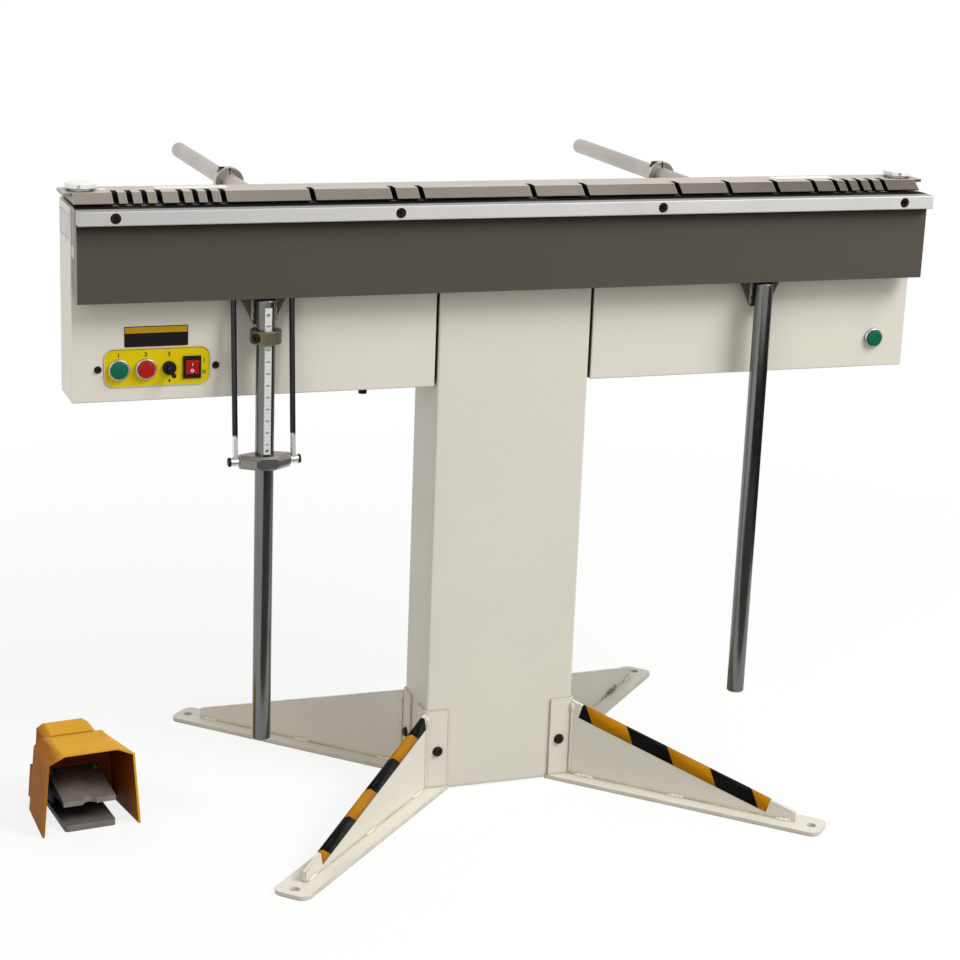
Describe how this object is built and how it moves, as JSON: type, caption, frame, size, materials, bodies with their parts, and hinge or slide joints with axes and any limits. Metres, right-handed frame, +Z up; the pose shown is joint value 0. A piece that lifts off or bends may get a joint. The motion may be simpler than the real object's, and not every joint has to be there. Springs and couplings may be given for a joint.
{
  "type": "magnetic sheet metal brake",
  "caption": "Magnetic sheet metal brake on a pedestal: magnet bed, slotted clamping bar, hinged bending beam with handles and angle gauge, backstop rods and a guarded foot switch.",
  "frame": {"origin": "on the floor, at the centre of the four floor bolts and under the middle of the column", "axes": "+X along the bed to the operator's right, +Y to the back, +Z up"},
  "size_m": [1.3677, 0.9596, 0.943],
  "materials": {
    "column": "satin",
    "column_rear_panel": "satin",
    "foot_front_left": "satin",
    "foot_front_right": "satin",
    "foot_rear_left": "satin",
    "foot_rear_right": "satin",
    "foot_bolts": "satin",
    "bed_bolts": "satin",
    "yoke_plate": "satin",
    "front_pole": "ground",
    "rear_pole": "ground",
    "magnet_core": "ground",
    "magnet_coil": "enamelled wire",
    "slot_cover": "satin",
    "bed_end_blocks": "ground",
    "hinge_sectors": "ground",
    "bending_beam": "satin",
    "extension_bar": "ground",
    "beam_screws": "satin",
    "handle_left": "satin",
    "handle_right": "satin",
    "handle_plates": "satin",
    "angle_scale": "satin",
    "gauge_slider": "satin",
    "stop_collar": "satin",
    "stop_collar_screw": "satin",
    "gauge_rods": "satin",
    "gauge_rod_screws": "satin",
    "gauge_bracket": "satin",
    "clamping_bar": "ground",
    "adjuster_left": "polished",
    "adjuster_right": "polished",
    "ball_plungers": "polished",
    "backstop_rods": "satin",
    "backstop_collar_left": "polished",
    "backstop_collar_right": "polished",
    "backstop_collar_screw_left": "satin",
    "backstop_collar_screw_right": "satin",
    "cover_left": "satin",
    "cover_right": "satin",
    "control_panel": "satin",
    "panel_screws": "satin",
    "button_bezels": "satin",
    "contact_blocks": "matte",
    "start_button": "gloss",
    "stop_button": "gloss",
    "start_button_right": "gloss",
    "toggle_switch": "matte",
    "toggle_lever": "satin",
    "rocker_frame": "matte",
    "rocker": "gloss",
    "cable_glands": "matte",
    "transformer_core": "satin",
    "transformer_coil": "taped winding",
    "control_gear": "matte",
    "foot_guard": "gloss",
    "foot_switch_base": "painted",
    "foot_pedal": "painted",
    "foot_pedal_pin": "satin",
    "foot_switch_block": "matte"
  },
  "bodies": {
    "frame": {"column": "column", "column_rear_panel": "column_rear_panel", "foot_front_left": "foot_front_left", "foot_front_right": "foot_front_right", "foot_rear_left": "foot_rear_left", "foot_rear_right": "foot_rear_right", "foot_bolts": "foot_bolts", "bed_bolts": "bed_bolts", "yoke_plate": "yoke_plate", "front_pole": "front_pole", "rear_pole": "rear_pole", "magnet_core": "magnet_core", "magnet_coil": "magnet_coil", "slot_cover": "slot_cover", "bed_end_blocks": "bed_end_blocks", "gauge_bracket": "gauge_bracket", "backstop_rods": "backstop_rods", "cover_left": "cover_left", "cover_right": "cover_right", "control_panel": "control_panel", "panel_screws": "panel_screws", "button_bezels": "button_bezels", "contact_blocks": "contact_blocks", "toggle_switch": "toggle_switch", "rocker_frame": "rocker_frame", "cable_glands": "cable_glands", "transformer_core": "transformer_core", "transformer_coil": "transformer_coil", "control_gear": "control_gear", "foot_guard": "foot_guard", "foot_switch_base": "foot_switch_base", "foot_pedal_pin": "foot_pedal_pin", "foot_switch_block": "foot_switch_block"},
    "beam": {"bending_beam": "bending_beam", "extension_bar": "extension_bar", "beam_screws": "beam_screws", "handle_left": "handle_left", "handle_right": "handle_right", "handle_plates": "handle_plates", "angle_scale": "angle_scale"},
    "hinge_sectors": {"hinge_sectors": "hinge_sectors"},
    "gauge_slider": {"gauge_slider": "gauge_slider"},
    "stop_collar": {"stop_collar": "stop_collar", "stop_collar_screw": "stop_collar_screw"},
    "gauge_rods": {"gauge_rods": "gauge_rods", "gauge_rod_screws": "gauge_rod_screws"},
    "ball_plungers": {"ball_plungers": "ball_plungers"},
    "clamping_bar": {"clamping_bar": "clamping_bar"},
    "adjuster_left": {"adjuster_left": "adjuster_left"},
    "adjuster_right": {"adjuster_right": "adjuster_right"},
    "backstop_collar_left": {"backstop_collar_left": "backstop_collar_left", "backstop_collar_screw_left": "backstop_collar_screw_left"},
    "backstop_collar_right": {"backstop_collar_right": "backstop_collar_right", "backstop_collar_screw_right": "backstop_collar_screw_right"},
    "start_button": {"start_button": "start_button"},
    "stop_button": {"stop_button": "stop_button"},
    "start_button_right": {"start_button_right": "start_button_right"},
    "toggle_lever": {"toggle_lever": "toggle_lever"},
    "rocker": {"rocker": "rocker"},
    "foot_pedal": {"foot_pedal": "foot_pedal"}
  },
  "joints": [
    {"name": "beam_hinge", "type": "hinge", "parent": "frame", "child": "beam", "pos_m": [0, -0.07, 0.916], "axis": [-1, 0, 0], "range_deg": [0, 135]},
    {"name": "hinge_sector_turn", "type": "hinge", "parent": "frame", "child": "hinge_sectors", "pos_m": [0, -0.07, 0.916], "axis": [-1, 0, 0], "range_deg": [0, 67.5]},
    {"name": "gauge_rod_swing", "type": "hinge", "parent": "frame", "child": "gauge_rods", "pos_m": [-0.386, -0.061, 0.834], "axis": [-1, 0, 0], "range_deg": [0, 143.8]},
    {"name": "gauge_slider_travel", "type": "slide", "parent": "beam", "child": "gauge_slider", "axis": [0, 0, 1], "range_m": [0, 0.1531]},
    {"name": "stop_collar_travel", "type": "slide", "parent": "beam", "child": "stop_collar", "axis": [0, 0, 1], "range_m": [-0.14, 0]},
    {"name": "clamp_lift", "type": "slide", "parent": "frame", "child": "ball_plungers", "axis": [0, 0, 1], "range_m": [0, 0.06]},
    {"name": "clamp_pull_down", "type": "slide", "parent": "ball_plungers", "child": "clamping_bar", "axis": [0, 0, 1], "range_m": [-0.0018, 0], "stiffness_N_per_m": 200000, "springref_m": 0.0007},
    {"name": "adjuster_left_turn", "type": "hinge", "parent": "clamping_bar", "child": "adjuster_left", "pos_m": [-0.632, -0.0225, 0.939], "axis": [0, 0, 1], "range_deg": [-90, 90]},
    {"name": "adjuster_right_turn", "type": "hinge", "parent": "clamping_bar", "child": "adjuster_right", "pos_m": [0.632, -0.0225, 0.939], "axis": [0, 0, 1], "range_deg": [-90, 90]},
    {"name": "backstop_left_slide", "type": "slide", "parent": "frame", "child": "backstop_collar_left", "axis": [0, 1, 0], "range_m": [-0.19, 0.33]},
    {"name": "backstop_right_slide", "type": "slide", "parent": "frame", "child": "backstop_collar_right", "axis": [0, 1, 0], "range_m": [-0.19, 0.33]},
    {"name": "start_button_press", "type": "slide", "parent": "frame", "child": "start_button", "axis": [0, 1, 0], "range_m": [0, 0.003], "stiffness_N_per_m": 400, "springref_m": -0.001},
    {"name": "stop_button_press", "type": "slide", "parent": "frame", "child": "stop_button", "axis": [0, 1, 0], "range_m": [0, 0.003], "stiffness_N_per_m": 400, "springref_m": -0.001},
    {"name": "start_button_right_press", "type": "slide", "parent": "frame", "child": "start_button_right", "axis": [0, 1, 0], "range_m": [0, 0.003], "stiffness_N_per_m": 400, "springref_m": -0.001},
    {"name": "toggle_lever_flip", "type": "hinge", "parent": "frame", "child": "toggle_lever", "pos_m": [-0.516, -0.057, 0.686], "axis": [-1, 0, 0], "range_deg": [0, 52]},
    {"name": "rocker_tip", "type": "hinge", "parent": "frame", "child": "rocker", "pos_m": [-0.4837, -0.053, 0.686], "axis": [-1, 0, 0], "range_deg": [0, 17.5]},
    {"name": "foot_pedal_press", "type": "hinge", "parent": "frame", "child": "foot_pedal", "pos_m": [-0.64237, 0.04343, 0.05], "axis": [0.9945, 0.1045, 0], "range_deg": [0, 8], "stiffness_Nm_per_rad": 3, "springref_deg": -8.59}
  ],
  "couplings": [
    {"joint": "hinge_sector_turn", "follows": "beam_hinge", "ratio": 0.5},
    {"joint": "gauge_rod_swing", "follows": "beam_hinge", "ratio": 1.065},
    {"joint": "gauge_slider_travel", "follows": "beam_hinge", "m_per_rad": 0.06498}
  ]
}
